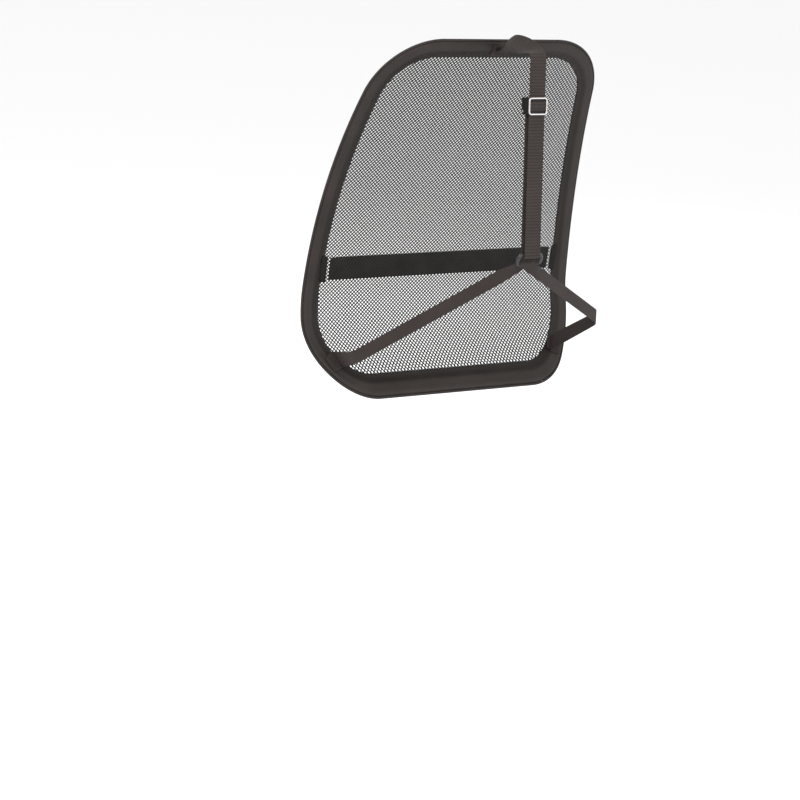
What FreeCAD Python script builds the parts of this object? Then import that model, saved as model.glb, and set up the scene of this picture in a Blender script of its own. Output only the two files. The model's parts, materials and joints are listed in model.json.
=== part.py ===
"""A mesh back support for a chair: a bowed hoop, its net, and the webbing that holds it on a chair back.

Millimetres. +Z is up, -Y faces the sitter, +X is the sitter's left. The origin is on the plane of the
chair back that the hoop rests against, midway up the hoop. The straps keep the shape that they have
round a chair back, which fills the space behind the hoop.
"""
import FreeCAD, Part
import math
import os
import Sketcher

V = FreeCAD.Vector
doc = FreeCAD.newDocument("back_support")

# ---------------------------------------------------------------- driving dimensions
sheet = doc.addObject("Spreadsheet::Sheet", "sizes")
SIZES = {
    "hoop_height": 514,  # the whole height of the hoop
    "top_half_width": 190,  # where the top corners end
    "bottom_half_width": 226,  # where the bottom corners begin
    "top_corner": 99,
    "bottom_corner": 98,
    "side_radius": 2200,  # the sides are slightly rounded between the corners
    "apex_depth": 97,  # how far the middle of the hoop stands before the chair back
    "apex_height": -112,  # the height of the greatest bow, from the middle of the hoop
    "curl_angle": 50,  # how far the bottom edge turns back to the chair
    "piping_size": 3,
    "binding_width": 24,
    "binding_thick": 8,
    "rod_size": 4,
    "ferrule_size": 6.4,
    "ferrule_length": 28,
    "mesh_thick": 1.2,
    "band_place": -87.5,  # the middle of the lumbar band, from the middle of the hoop
    "band_height": 34,
    "tab_height": 38,
    "band_thick": 1.4,
    "tab_width": 10,
    "webbing_width": 25,
    "webbing_thick": 1.6,
    "side_webbing_thick": 1.4,
    "strap_lean": 9.9,  # the strap's lean off the vertical, the lower end further back
    "ring_back": 128,  # the ring's upper bar, behind the chair-back plane
    "ring_height": -10,
    "ring_tilt": 13.4,  # the ring's lower bar lies forward of its upper one
    "ring_bar": 5.5,
    "ring_inner_width": 31,
    "ring_pitch": 14,  # between the axes of the ring's two long bars
    "loop_gap": 0.9,  # between the ring's upper bar and the webbing round it
    "fold_gap": 0.75,  # between the ring's lower bar and the side webbing round it
    "leg_slope": 36.6,  # the side straps leave the ring this far off the vertical
    "fold_width": 29.6,
    "slide_width": 29.6,
    "slide_height": 24,
    "slide_rim": 2.6,
    "slide_depth": 16.5,
    "slide_wall": 1.6,
    "slide_place": 200,  # along the strap, from the ring's upper bar
    "slide_bar_size": 3.2,
    "top_bend_height": 245,
}
for row, (alias, value) in enumerate(SIZES.items(), start=1):
    sheet.set(f"A{row}", alias)
    sheet.set(f"B{row}", str(value))
    sheet.setAlias(f"B{row}", alias)
doc.recompute()


def size(alias):
    """One driving dimension, read from the sheet."""
    return float(sheet.get(alias))


subparts = []


def keep(feature, label):
    """Name a sub-part and put it on the list of those that are written out."""
    feature.Label = label
    subparts.append(feature)
    return feature


def helper(name, shape):
    """A construction shape that booleans use and that isn't written out."""
    feature = doc.addObject("Part::Feature", name)
    feature.Shape = shape
    return feature


def boolean(kind, name, base, tool):
    feature = doc.addObject(kind, name)
    feature.Base = base
    feature.Tool = tool
    return feature


def box(name, low, high):
    """A Part::Box from its lowest to its highest corner; each may be a number or an expression."""
    feature = doc.addObject("Part::Box", name)
    for side, place, start, end in zip(("Length", "Width", "Height"), "xyz", low, high):
        feature.setExpression(side, f"({end}) - ({start})")
        feature.setExpression(f"Placement.Base.{place}", f"({start}) * 1")
    return feature


# ---------------------------------------------------------------- the hoop's outline and bow
half = size("hoop_height") / 2
top_centre = V(size("top_half_width") - size("top_corner"), 0, half - size("top_corner"))
bottom_centre = V(size("bottom_half_width") - size("bottom_corner"), 0, size("bottom_corner") - half)


def side_centre():
    """The centre of the large arc that touches both corner arcs of the +X side from outside."""
    reach_top = size("side_radius") - size("top_corner")
    reach_bottom = size("side_radius") - size("bottom_corner")
    between = bottom_centre - top_centre
    span = between.Length
    along = (reach_top**2 - reach_bottom**2 + span**2) / (2 * span)
    away = math.sqrt(reach_top**2 - along**2)
    unit = between / span
    inward = V(unit.z, 0, -unit.x)
    return top_centre + unit * along + inward * away


def on_circle(centre, radius, angle):
    return centre + V(radius * math.cos(angle), 0, radius * math.sin(angle))


def arc(centre, radius, start, end):
    middle = (start + end) / 2
    ends = [on_circle(centre, radius, angle) for angle in (start, middle, end)]
    return Part.Arc(*ends).toShape()


def outline(inset, name):
    """The hoop's outline in the XZ plane, drawn in by inset, as a prism right through the bow."""
    centre = side_centre()
    upper = math.atan2(top_centre.z - centre.z, top_centre.x - centre.x)
    lower = math.atan2(bottom_centre.z - centre.z, bottom_centre.x - centre.x)
    right = [
        arc(top_centre, size("top_corner") - inset, math.pi / 2, upper),
        arc(centre, size("side_radius") - inset, upper, lower),
        arc(bottom_centre, size("bottom_corner") - inset, lower, -math.pi / 2),
    ]
    left = [edge.mirror(V(), V(1, 0, 0)) for edge in right]
    top, bottom = half - inset, inset - half
    flat = [
        Part.makeLine(V(-top_centre.x, 0, top), V(top_centre.x, 0, top)),
        Part.makeLine(V(-bottom_centre.x, 0, bottom), V(bottom_centre.x, 0, bottom)),
    ]
    wire = Part.Wire(Part.__sortEdges__(right + left + flat))
    prism = Part.Face(wire).extrude(V(0, 400, 0))
    prism.translate(V(0, -250, 0))
    return helper(name, prism)


apex = V(0, -size("apex_depth"), size("apex_height"))
curl = math.radians(size("curl_angle"))
edge_back_bottom = -size("binding_thick") / 2 / math.cos(curl)
edge_back_top = -4.5
upper_rise = half - apex.z
upper_depth = edge_back_top - apex.y
upper_radius = (upper_rise**2 + upper_depth**2) / (2 * upper_depth)
lower_drop = apex.z + half
lower_depth = edge_back_bottom - apex.y
lower_radius = (lower_drop * math.tan(curl) - lower_depth) / (1 / math.cos(curl) - 1)
top_angle = math.asin(upper_rise / upper_radius)


def bow_edges(offset):
    """The side view of the bow, moved towards the chair by offset: an arc above and one below the
    greatest bow, with a straight run at each end that reaches past the outline."""
    upper_centre = apex + V(0, upper_radius, 0)
    lower_centre = apex + V(0, lower_radius, 0)

    def upper(angle):
        radius = upper_radius - offset
        return upper_centre + V(0, -radius * math.cos(angle), radius * math.sin(angle))

    def lower(angle):
        radius = lower_radius - offset
        return lower_centre + V(0, -radius * math.cos(angle), -radius * math.sin(angle))

    above = upper(top_angle) + V(0, math.sin(top_angle), math.cos(top_angle)) * 20
    below = lower(curl) + V(0, math.sin(curl), -math.cos(curl)) * 90
    return [
        Part.makeLine(above, upper(top_angle)),
        Part.Arc(upper(top_angle), upper(top_angle / 2), upper(0)).toShape(),
        Part.Arc(lower(0), lower(curl / 2), lower(curl)).toShape(),
        Part.makeLine(lower(curl), below),
    ]


def bow_sheet(front, back, name):
    """A sheet that follows the bow, from the front offset to the back one."""
    near, far = bow_edges(front), bow_edges(back)
    caps = [
        Part.makeLine(near[0].Vertexes[0].Point, far[0].Vertexes[0].Point),
        Part.makeLine(near[-1].Vertexes[-1].Point, far[-1].Vertexes[-1].Point),
    ]
    wire = Part.Wire(Part.__sortEdges__(near + far + caps))
    prism = Part.Face(wire).extrude(V(500, 0, 0))
    prism.translate(V(-250, 0, 0))
    return helper(name, prism)


def bow_point(x, height, offset):
    """The point of the bow's surface at x and height, on its lower arc."""
    radius = lower_radius - offset
    drop = apex.z - height
    return V(x, apex.y + lower_radius - math.sqrt(radius**2 - drop**2), height)


# ---------------------------------------------------------------- hoop, binding and net
def hoop_pieces():
    piping = size("piping_size")
    inner = piping + size("binding_width")
    rod_inset = piping + size("binding_width") / 2 - size("rod_size") / 2 - 3
    rod, ferrule = size("rod_size"), size("ferrule_size")
    margin = (ferrule - rod) / 2
    binding_half = size("binding_thick") / 2

    outer_prism = outline(0, "outer_prism")
    seam_prism = outline(piping, "seam_prism")
    inner_prism = outline(inner, "inner_prism")
    piping_ring = boolean("Part::Cut", "piping_ring", outer_prism, seam_prism)
    binding_ring = boolean("Part::Cut", "binding_ring", seam_prism, inner_prism)
    rod_ring = boolean(
        "Part::Cut", "rod_ring", outline(rod_inset, "rod_out"), outline(rod_inset + rod, "rod_in")
    )
    ferrule_ring = boolean(
        "Part::Cut",
        "ferrule_ring",
        outline(rod_inset - margin, "ferrule_out"),
        outline(rod_inset + rod + margin, "ferrule_in"),
    )

    closed_rod = boolean("Part::Common", "closed_rod", bow_sheet(-rod / 2, rod / 2, "rod_sheet"), rod_ring)
    joint_gap = box("joint_gap", ("-0.5", "-60", "-300"), ("0.5", "60", "-150"))
    keep(boolean("Part::Cut", "rod_piece", closed_rod, joint_gap), "hoop_rod")

    ferrule_bar = boolean(
        "Part::Common", "ferrule_bar", bow_sheet(-ferrule / 2, ferrule / 2, "ferrule_sheet"), ferrule_ring
    )
    reach = box(
        "ferrule_reach",
        ("-sizes.ferrule_length / 2", "-60", "-300"),
        ("sizes.ferrule_length / 2", "60", "-150"),
    )
    ferrule_block = boolean("Part::Common", "ferrule_block", ferrule_bar, reach)
    ferrule_piece = boolean("Part::Cut", "ferrule_piece", ferrule_block, closed_rod)
    keep(ferrule_piece, "hoop_ferrule")

    solid_binding = boolean(
        "Part::Common", "solid_binding", bow_sheet(-binding_half, binding_half, "binding_sheet"), binding_ring
    )
    without_rod = boolean("Part::Cut", "without_rod", solid_binding, closed_rod)
    keep(boolean("Part::Cut", "binding_piece", without_rod, ferrule_block), "edge_binding")

    piping_sheet = bow_sheet(-piping / 2, piping / 2, "piping_sheet")
    keep(boolean("Part::Common", "piping_piece", piping_sheet, piping_ring), "edge_piping")

    mesh = size("mesh_thick")
    mesh_sheet = bow_sheet(-mesh / 2, mesh / 2, "mesh_sheet")
    keep(boolean("Part::Common", "mesh_piece", mesh_sheet, inner_prism), "mesh_panel")
    return inner_prism, binding_ring


def band_pieces(inner_prism):
    """The lumbar band behind the net, and the folded tabs that sew its ends to the binding."""
    start = size("mesh_thick") / 2
    thick = size("band_thick")
    low, high = (f"sizes.band_place {sign} sizes.band_height / 2" for sign in "-+")
    tab_low, tab_high = (f"sizes.band_place {sign} sizes.tab_height / 2" for sign in "-+")
    band_end = "(sizes.bottom_half_width - sizes.binding_width - sizes.piping_size - sizes.tab_width - 4)"
    reach = box("band_reach", (f"-{band_end}", "-150", low), (band_end, "0", high))
    band_sheet = bow_sheet(start, start + thick, "band_sheet")
    keep(boolean("Part::Common", "band_piece", band_sheet, reach), "lumbar_band")
    tab_sheet = bow_sheet(start, start + 1.6 * thick, "tab_sheet")
    for side, near, far in (("left", band_end, "220"), ("right", "-220", f"-{band_end}")):
        tab_reach = box(f"tab_reach_{side}", (near, "-150", tab_low), (far, "0", tab_high))
        strip = boolean("Part::Common", f"tab_strip_{side}", tab_sheet, tab_reach)
        tab = boolean("Part::Common", f"tab_piece_{side}", strip, inner_prism)
        keep(tab, f"lumbar_band_tab_{side}")


# ---------------------------------------------------------------- flat webbing between cross-sections
def ribbon(sections, thick, name, label):
    """A flat strap through cross-sections, each given by its two edge points and the direction in which
    its thickness is measured, as flat and gently twisted faces between one section and the next."""
    wires = []
    for first, second, normal in sections:
        step = normal.normalize() * (thick / 2)
        corners = [first + step, second + step, second - step, first - step, first + step]
        wires.append(Part.makePolygon(corners))
    feature = helper(name, Part.makeLoft(wires, True, True))
    return keep(feature, label)


def strap_placement():
    """The frame of the strap down the chair's back: its Z runs up the strap from the ring's upper bar,
    its Y points away from the chair."""
    lean = FreeCAD.Rotation(V(1, 0, 0), size("strap_lean"))
    return FreeCAD.Placement(V(0, size("ring_back"), size("ring_height")), lean)


def place_on_strap(feature):
    """Put a sub-part that was drawn in the strap's frame where the strap is."""
    feature.Placement = strap_placement().multiply(feature.Placement)
    return feature


layer = size("ring_bar") / 2 + size("loop_gap") + size("webbing_thick") / 2
web_half = size("webbing_width") / 2


def half_loop(radius, thick, width, turn, name, label):
    """Half a turn of webbing round a bar along X: the lower half, then turned about X."""
    tube = Part.makeCylinder(radius + thick, width, V(-width / 2, 0, 0), V(1, 0, 0))
    hole = Part.makeCylinder(radius, width, V(-width / 2, 0, 0), V(1, 0, 0))
    upper = Part.makeBox(width, 20, 10, V(-width / 2, -10, 0))
    feature = helper(name, tube.cut(hole).cut(upper))
    feature.Placement = FreeCAD.Placement(V(), FreeCAD.Rotation(V(1, 0, 0), turn))
    return keep(feature, label)


def strap_pieces():
    """The long webbing: its sewn end on the hoop, the twisted run over the chair's top, the front layer
    down to the ring, the turn round the ring, and the return layer up to the slide."""
    thick = size("webbing_thick")
    along = strap_placement()

    def on_strap(x, out, up):
        return along.multVec(V(x, out, up))

    start = (size("top_bend_height") - size("ring_height")) / math.cos(math.radians(size("strap_lean")))
    out = along.Rotation.multVec(V(0, 1, 0))
    top = on_strap(0, layer, start)

    def turned(centre, angle, width, normal_lean=0):
        """A section whose width runs at angle to the horizontal, seen from behind."""
        tilt = math.radians(angle)
        reach = V(math.cos(tilt), 0, -math.sin(tilt)) * (width / 2)
        normal = V(math.sin(tilt), math.sin(math.radians(normal_lean)), math.cos(tilt))
        return centre + reach, centre - reach, normal

    seat = V(3, -4.5, half - 15)
    sections = [
        turned(seat, 52, 17),
        turned(V(2, 20, half - 3), 46, 22),
        turned(V(1, 42, half + 2.5), 34, 25),
        turned(V(0, 62, half + 4.5), 14, 25, 10),
        turned(V(0, top.y - 4, half + 1), 0, 25, 45),
        (top + V(web_half, 0, 0), top - V(web_half, 0, 0), out),
    ]
    ribbon(sections, thick, "top_ribbon", "top_strap")

    anchor_sheet = bow_sheet(size("binding_thick") / 2, size("binding_thick") / 2 + thick, "anchor_sheet")
    reach = box(
        "top_anchor_reach",
        ("-sizes.webbing_width / 2", "-60", "sizes.hoop_height / 2 - 22"),
        ("sizes.webbing_width / 2", "60", "sizes.hoop_height / 2 - 6"),
    )
    keep(boolean("Part::Common", "top_anchor", anchor_sheet, reach), "top_strap_anchor")

    front = doc.addObject("Part::Box", "front_layer")
    front.setExpression("Length", "sizes.webbing_width")
    front.setExpression("Width", "sizes.webbing_thick")
    front.Height = start
    front.Placement.Base = V(-web_half, layer - thick / 2, 0)
    keep(place_on_strap(front), "strap_front_layer")

    half_loop(layer - thick / 2, thick, size("webbing_width"), 0, "ring_turn", "strap_ring_fold")
    place_on_strap(subparts[-1])

    back = doc.addObject("Part::Box", "return_layer")
    back.setExpression("Length", "sizes.webbing_width")
    back.setExpression("Width", "sizes.webbing_thick")
    back.setExpression("Height", "sizes.slide_place - sizes.slide_height / 2 + 8")
    back.Placement.Base = V(-web_half, -layer - thick / 2, 0)
    keep(place_on_strap(back), "strap_return_layer")


# ---------------------------------------------------------------- slide adjuster and ring
def origin_plane(body, role):
    return next(feature for feature in body.Origin.OriginFeatures if feature.Role == role)


def sketch_on(body, name, role):
    sketch = body.newObject("Sketcher::SketchObject", name)
    sketch.AttachmentSupport = [(origin_plane(body, role), "")]
    sketch.MapMode = "FlatFace"
    return sketch


def rectangle(sketch, width, height, low):
    """A rectangle about the sketch's Y axis whose lower side is at low, bound to the sheet."""
    side, up = 10, 10
    corners = [V(-side, -up, 0), V(side, -up, 0), V(side, up, 0), V(-side, up, 0)]
    for index in range(4):
        sketch.addGeometry(Part.LineSegment(corners[index], corners[(index + 1) % 4]), False)
    first = sketch.GeometryCount - 4
    for index in range(4):
        following = first + (index + 1) % 4
        sketch.addConstraint(Sketcher.Constraint("Coincident", first + index, 2, following, 1))
    for index, kind in enumerate(("Vertical", "Horizontal", "Vertical"), start=1):
        sketch.addConstraint(Sketcher.Constraint(kind, first + index))
    sketch.addConstraint(Sketcher.Constraint("Symmetric", first, 1, first, 2, -2))
    measures = (
        (Sketcher.Constraint("DistanceX", first, 1, first, 2, 20.0), width),
        (Sketcher.Constraint("DistanceY", first + 1, 1, first + 1, 2, 20.0), height),
        (Sketcher.Constraint("DistanceY", -1, 1, first, 1, 1.0), low),
    )
    for constraint, expression in measures:
        place = sketch.addConstraint(constraint)
        sketch.setExpression(f"Constraints[{place}]", expression)


def slide_pieces():
    """The slide adjuster, drawn in the strap's frame: a bright rim outside, a dark channel body behind
    it with a wall at each side, the bar that the webbing runs over and the pin of the return layer."""
    depth_from = layer + size("webbing_thick") / 2 + 0.5
    low = "sizes.slide_place - sizes.slide_height / 2"

    rim = doc.addObject("PartDesign::Body", "slide_rim_body")
    plate_sketch = sketch_on(rim, "rim_plate_sketch", "XZ_Plane")
    rectangle(plate_sketch, "sizes.slide_width", "sizes.slide_height", low)
    plate = rim.newObject("PartDesign::Pad", "rim_plate")
    plate.Profile = plate_sketch
    plate.Length = 2
    plate.Reversed = True
    window_sketch = sketch_on(rim, "rim_window_sketch", "XZ_Plane")
    rectangle(
        window_sketch,
        "sizes.slide_width - 2 * sizes.slide_rim",
        "sizes.slide_height - 2 * sizes.slide_rim",
        f"{low} + sizes.slide_rim",
    )
    window = rim.newObject("PartDesign::Pocket", "rim_window")
    window.Profile = window_sketch
    window.Type = "ThroughAll"
    window.Midplane = True
    rim.Tip = window
    doc.recompute()
    rounding = rim.newObject("PartDesign::Fillet", "rim_rounding")
    corners = [
        f"Edge{index}"
        for index, edge in enumerate(window.Shape.Edges, start=1)
        if abs(edge.tangentAt(edge.FirstParameter).y) > 0.99
    ]
    rounding.Base = (window, corners)
    rounding.Radius = 2.2
    rim.Tip = rounding
    rim.Placement.Base = V(0, depth_from, 0)
    keep(place_on_strap(rim), "slide_frame")

    body = doc.addObject("PartDesign::Body", "slide_channel_body")
    block_sketch = sketch_on(body, "channel_block_sketch", "XZ_Plane")
    rectangle(block_sketch, "sizes.slide_width", "sizes.slide_height - 1", f"{low} + 0.5")
    block = body.newObject("PartDesign::Pad", "channel_block")
    block.Profile = block_sketch
    block.setExpression("Length", "sizes.slide_depth")
    cut_sketch = sketch_on(body, "channel_cut_sketch", "XZ_Plane")
    rectangle(
        cut_sketch, "sizes.slide_width - 2 * sizes.slide_wall", "sizes.slide_height + 2", f"{low} - 1"
    )
    cut = body.newObject("PartDesign::Pocket", "channel_cut")
    cut.Profile = cut_sketch
    cut.setExpression("Length", "sizes.slide_depth - sizes.slide_wall")
    cut.Reversed = True
    body.Tip = cut
    body.Placement.Base = V(0, depth_from, 0)
    keep(place_on_strap(body), "slide_body")

    wall_gap = "(sizes.slide_width - 2 * sizes.slide_wall)"
    pin_out = -layer - size("webbing_thick") / 2 - 0.5 - size("slide_bar_size") / 2
    for name, label, up, out, diameter in (
        ("bar", "slide_bar", size("slide_place"), layer - size("webbing_thick") / 2, size("slide_bar_size")),
        ("pin", "slide_pin", size("slide_place") - 7, pin_out, size("slide_bar_size") - 0.6),
    ):
        rod = doc.addObject("Part::Cylinder", f"slide_{name}_rod")
        rod.setExpression("Height", wall_gap)
        rod.Radius = diameter / 2
        back = out - diameter / 2 - 0.4 if name == "bar" else out
        turn = FreeCAD.Rotation(V(0, 1, 0), 90)
        rod.Placement = FreeCAD.Placement(V(-size("slide_width") / 2 + size("slide_wall"), back, up), turn)
        keep(place_on_strap(rod), label)


def ring_pieces():
    """The ring between the two straps: a round bar bent to a rectangle, its upper bar at the origin of
    the strap's frame, and the turn of the side strap over its lower bar."""
    bar = size("ring_bar")
    side = (size("ring_inner_width") + bar) / 2
    drop = size("ring_pitch")
    bend = bar
    points = [V(-side, 0, 0), V(side, 0, 0), V(side, 0, -drop), V(-side, 0, -drop)]
    edges = []
    for index in range(4):
        before, corner, after = points[index - 1], points[index], points[(index + 1) % 4]
        start = corner + (before - corner).normalize() * bend
        end = corner + (after - corner).normalize() * bend
        centre = start + (end - corner)
        middle = centre + (corner - centre).normalize() * bend
        far = after + (corner - after).normalize() * bend
        edges.append(Part.Arc(start, middle, end).toShape())
        edges.append(Part.makeLine(end, far))
    path = Part.Wire(edges)
    profile = Part.Wire(Part.makeCircle(bar / 2, V(0, 0, 0), V(1, 0, 0)))
    ring = path.makePipeShell([profile], True, True)
    feature = helper("ring_bar_pipe", ring)
    tilt = FreeCAD.Rotation(V(1, 0, 0), -size("ring_tilt"))
    feature.Placement = FreeCAD.Placement(V(0, size("ring_back"), size("ring_height")), tilt)
    keep(feature, "strap_ring")

    lower_bar = feature.Placement.multVec(V(0, 0, -drop))
    radius = bar / 2 + size("fold_gap")
    thick = size("side_webbing_thick")
    half_loop(radius, thick, size("fold_width"), 180 - size("leg_slope"), "side_turn", "side_strap_fold")
    fold = subparts[-1]
    fold.Placement.Base = lower_bar
    return lower_bar, radius + thick / 2


# ---------------------------------------------------------------- side straps
def side_straps(lower_bar, fold_radius):
    """The two legs of the lower strap: each runs from the ring to a rear corner of the chair back, turns
    it, and ends on the hoop's binding under a sewn patch. The right one lies outside at the ring and
    turns the chair's corner higher up."""
    slope = math.radians(size("leg_slope"))
    down = V(0, -math.sin(slope), -math.cos(slope))
    outward = V(0, math.cos(slope), -math.sin(slope))
    half_fold = size("fold_width") / 2
    thick = size("side_webbing_thick")
    start_gap = 2.2  # clear of the fold, so that the ring can tilt
    binding = size("binding_thick") / 2
    corners = {
        "left": (1, -1, V(190, 1, -179), V(181, 0, -198)),
        "right": (-1, 1, V(-187, 46, -127), V(-180, 58, -143)),
    }
    for side, (sign, layer_side, upper, lower) in corners.items():
        seat = lower_bar + outward * (fold_radius * layer_side) + down * start_gap
        end_upper = bow_point(sign * 186, -203, binding + thick)
        end_lower = bow_point(sign * 176, -222, binding + thick)
        rear = (upper + lower) / 2 - seat
        forward = (end_upper + end_lower) / 2 - (upper + lower) / 2
        width = lower - upper
        rear_normal = rear.cross(width).normalize() * sign
        side_normal = forward.cross(width).normalize() * sign
        sections = [
            (seat + V(sign * half_fold, 0, 0), seat - V(sign * half_fold, 0, 0), V(outward)),
            (upper, lower, rear_normal + side_normal),
            (end_upper, end_lower, V(side_normal)),
        ]
        ribbon(sections, thick, f"{side}_leg", f"{side}_side_strap")


def side_anchors(binding_ring):
    start = size("binding_thick") / 2
    patch_sheet = bow_sheet(start, start + size("side_webbing_thick"), "patch_sheet")
    for side, near, far in (("left", "166", "206"), ("right", "-206", "-166")):
        reach = box(f"anchor_reach_{side}", (near, "-100", "-226"), (far, "0", "-198"))
        strip = boolean("Part::Common", f"anchor_strip_{side}", patch_sheet, reach)
        keep(boolean("Part::Common", f"anchor_{side}", strip, binding_ring), f"{side}_strap_anchor")


inner_prism, binding_ring = hoop_pieces()
band_pieces(inner_prism)
strap_pieces()
slide_pieces()
lower_bar, fold_radius = ring_pieces()
side_straps(lower_bar, fold_radius)
side_anchors(binding_ring)

# ---------------------------------------------------------------- checks and files
doc.recompute()
for feature in doc.Objects:
    if "Invalid" in feature.State or "Error" in feature.State:
        raise RuntimeError(f"{feature.Name} failed: {feature.State}")
os.makedirs("parts", exist_ok=True)
for feature in subparts:
    shape = feature.Shape
    if shape.isNull() or not shape.isValid():
        raise RuntimeError(f"{feature.Label} has no valid shape")
    bounds = shape.BoundBox
    print(
        f"{feature.Label:24s} {shape.Volume:10.0f} mm3"
        f"  x {bounds.XMin:.1f} {bounds.XMax:.1f}  y {bounds.YMin:.1f} {bounds.YMax:.1f}"
        f"  z {bounds.ZMin:.1f} {bounds.ZMax:.1f}"
    )
    shape.exportStep(f"parts/{feature.Label}.step")
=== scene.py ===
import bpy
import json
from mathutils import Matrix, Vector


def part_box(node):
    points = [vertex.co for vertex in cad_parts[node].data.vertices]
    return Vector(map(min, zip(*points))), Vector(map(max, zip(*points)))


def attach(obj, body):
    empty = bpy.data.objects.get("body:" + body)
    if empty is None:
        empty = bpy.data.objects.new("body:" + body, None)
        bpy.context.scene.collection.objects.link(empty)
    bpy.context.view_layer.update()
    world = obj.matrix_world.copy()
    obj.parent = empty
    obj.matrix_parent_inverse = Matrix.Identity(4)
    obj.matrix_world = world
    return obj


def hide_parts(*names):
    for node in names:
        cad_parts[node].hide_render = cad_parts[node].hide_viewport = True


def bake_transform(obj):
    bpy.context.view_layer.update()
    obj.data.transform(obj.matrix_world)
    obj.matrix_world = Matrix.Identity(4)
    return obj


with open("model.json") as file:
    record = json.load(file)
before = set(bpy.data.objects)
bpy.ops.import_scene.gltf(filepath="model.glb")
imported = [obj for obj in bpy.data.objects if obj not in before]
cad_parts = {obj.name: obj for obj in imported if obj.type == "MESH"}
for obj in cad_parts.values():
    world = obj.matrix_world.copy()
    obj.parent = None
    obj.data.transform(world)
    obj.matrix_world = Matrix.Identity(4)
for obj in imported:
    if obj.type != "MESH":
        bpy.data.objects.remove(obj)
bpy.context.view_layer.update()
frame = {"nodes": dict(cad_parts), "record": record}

import json
import math

import bpy
import numpy as np
from mathutils import Matrix, Vector

MM = 0.001
NET_ACROSS, NET_UP = 5.6 * MM, 5.3 * MM


# ---------------------------------------------------------------- camera
def make_camera():
    """The main view: from behind, to the sitter's left, with the chair back's recline in the camera's
    tilt."""
    place = Vector((1.5263, 2.3356, 0.7126))
    aim = Vector((0.1392, 0.060, -0.2327))
    roll = math.radians(6.29)
    data = bpy.data.cameras.new("camera")
    data.lens = 91.9
    data.sensor_width = 36
    camera = bpy.data.objects.new("camera", data)
    bpy.context.scene.collection.objects.link(camera)
    camera.location = place
    turn = (aim - place).to_track_quat("-Z", "Y").to_matrix().to_4x4()
    camera.rotation_euler = (turn @ Matrix.Rotation(roll, 4, "Z")).to_euler()
    bpy.context.scene.camera = camera


# ---------------------------------------------------------------- mesh helpers
def unit(vector):
    return np.asarray(vector, float) / np.linalg.norm(vector)


def make_object(name, points, faces, weave=None, smooth=True):
    """A mesh object in the row frame; weave holds each point's place along and across the cloth, in
    metres, which the materials read."""
    mesh = bpy.data.meshes.new(name)
    mesh.from_pydata([tuple(p) for p in points], [], [tuple(f) for f in faces])
    if weave is not None:
        layer = mesh.attributes.new("weave", "FLOAT_VECTOR", "POINT")
        layer.data.foreach_set("vector", np.asarray(weave, np.float32).ravel())
    if smooth:
        mesh.polygons.foreach_set("use_smooth", [True] * len(mesh.polygons))
    mesh.update()
    piece = bpy.data.objects.new(name, mesh)
    bpy.context.scene.collection.objects.link(piece)
    return piece


def sweep(name, sections, profile, closed=False, capped=True):
    """A skin through sections. Each section is (centre, across, out, scale): the profile's first number
    runs along across and its second along out."""
    points, weave, faces = [], [], []
    count = len(profile)
    travelled = 0.0
    previous = None
    for centre, across, out, scale in sections:
        if previous is not None:
            travelled += np.linalg.norm(centre - previous)
        previous = centre
        for a, b in profile:
            points.append(centre + across * (a * scale[0]) + out * (b * scale[1]))
            weave.append((a, travelled, b))
    rings = len(sections)
    for ring in range(rings if closed else rings - 1):
        here, there = ring * count, (ring + 1) % rings * count
        for index in range(count):
            after = (index + 1) % count
            faces.append((here + index, here + after, there + after, there + index))
    if not closed and capped:
        faces.append(tuple(range(count - 1, -1, -1)))
        faces.append(tuple(range((rings - 1) * count, rings * count)))
    return make_object(name, points, faces, weave)


def ribbon_profile(width, thick, steps=8):
    """The cross-section of woven webbing: flat faces and rounded selvedges."""
    half, depth = width / 2, thick / 2
    flat = np.linspace(-half + depth, half - depth, steps + 1)
    upper = [(x, depth) for x in flat]
    lower = [(x, -depth) for x in flat[::-1]]
    bends = [math.radians(a) for a in (60, 30, 0, -30, -60)]
    right = [(half - depth + depth * math.cos(a), depth * math.sin(a)) for a in bends]
    left = [(-x, -y) for x, y in right]
    return upper + right + lower + left


def spline(keys, count):
    """Points of a Catmull-Rom curve through the keys, evenly spread over them."""
    keys = np.asarray(keys, float)
    padded = np.vstack([2 * keys[0] - keys[1], keys, 2 * keys[-1] - keys[-2]])
    result = []
    for value in np.linspace(0, len(keys) - 1, count):
        index = min(int(value), len(keys) - 2)
        t = value - index
        p0, p1, p2, p3 = padded[index:index + 4]
        result.append(
            0.5 * (2 * p1 + (p2 - p0) * t + (2 * p0 - 5 * p1 + 4 * p2 - p3) * t**2
                   + (3 * p1 - p0 - 3 * p2 + p3) * t**3)
        )
    return np.array(result)


def ribbon_sections(centres, widths, scales=None):
    """Sections of a strap from its centre line and the direction of its width at each point."""
    sections = []
    last = len(centres) - 1
    for index, centre in enumerate(centres):
        along = unit(centres[min(index + 1, last)] - centres[max(index - 1, 0)])
        across = widths[index] - along * np.dot(widths[index], along)
        across = unit(across)
        out = unit(np.cross(across, along))
        scale = (1, 1) if scales is None else scales[index]
        sections.append((centre, across, out, scale))
    return sections


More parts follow.
